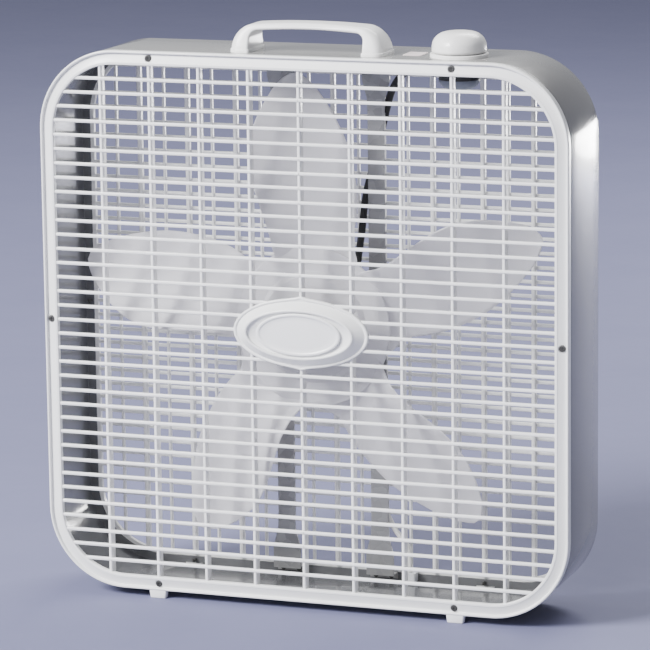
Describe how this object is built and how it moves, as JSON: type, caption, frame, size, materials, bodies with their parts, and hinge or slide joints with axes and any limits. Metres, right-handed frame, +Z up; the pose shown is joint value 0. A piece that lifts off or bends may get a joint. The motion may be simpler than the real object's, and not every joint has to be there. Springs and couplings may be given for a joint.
{
  "type": "box fan",
  "caption": "Portable box fan: square enamelled steel band closed by two moulded grilles, one impeller on a motor held by two upright straps, top carrying handle and speed knob.",
  "frame": {"origin": "On the floor under the middle of the fan, half way between the badge in front and the rear face.", "axes": "+Z up; the front of the fan, with the badge, faces -Y; +X to the right as the front is looked at."},
  "size_m": [0.525, 0.1124, 0.5608],
  "materials": {
    "band_enamel": "gloss",
    "grille_plastic": "gloss",
    "badge_plastic": "gloss",
    "handle_plastic": "satin",
    "knob_plastic": "satin",
    "legend_film": "matte",
    "blade_plastic": "satin",
    "galvanised_steel": "satin",
    "screw_steel": "satin",
    "shaft_steel": "polished",
    "motor_steel": "satin",
    "core_steel": "satin",
    "rotor_alloy": "satin",
    "coil_copper": "satin",
    "bearing_bronze": "satin",
    "contact_brass": "satin",
    "switch_black": "satin",
    "switch_grey": "satin",
    "cam_plastic": "satin",
    "sleeve_black": "matte",
    "lead_white": "satin",
    "gland_plastic": "satin",
    "cover_black": "satin"
  },
  "bodies": {
    "housing": {"housing_band": "band_enamel", "front_grille": "grille_plastic", "badge": "badge_plastic", "rear_grille": "grille_plastic", "front_grille_screws": "screw_steel", "rear_grille_screws": "screw_steel", "handle": "handle_plastic", "handle_screws": "screw_steel", "knob_bezel": "knob_plastic", "legend_plate": "legend_film", "switch_body": "switch_black", "switch_cover": "switch_grey", "switch_nut": "screw_steel", "switch_contacts": "contact_brass", "stator_core": "core_steel", "stator_windings": "coil_copper", "motor_front_bell": "motor_steel", "motor_rear_bell": "motor_steel", "front_bearing": "bearing_bronze", "rear_bearing": "bearing_bronze", "motor_bolts": "screw_steel", "motor_nuts": "screw_steel", "strap_left": "galvanised_steel", "strap_right": "galvanised_steel", "strap_rivets": "screw_steel", "mount_screws": "screw_steel", "mount_nuts": "screw_steel", "lead_cover": "cover_black", "lead_sleeve": "sleeve_black", "supply_lead": "lead_white", "cord_gland": "gland_plastic"},
    "impeller": {"fan_blade": "blade_plastic", "blade_retainer": "screw_steel", "motor_shaft": "shaft_steel", "motor_rotor": "rotor_alloy", "thrust_washers": "bearing_bronze"},
    "speed_knob": {"knob": "knob_plastic", "switch_spindle": "shaft_steel", "switch_cam": "cam_plastic"}
  },
  "joints": [
    {"name": "fan_spin", "type": "hinge", "parent": "housing", "child": "impeller", "pos_m": [0, -0.00325, 0.2705], "axis": [0, 1, 0], "continuous": true},
    {"name": "knob_turn", "type": "hinge", "parent": "housing", "child": "speed_knob", "pos_m": [0.1435, -0.00125, 0.5325], "axis": [0, 0, -1], "range_deg": [0, 135]}
  ]
}
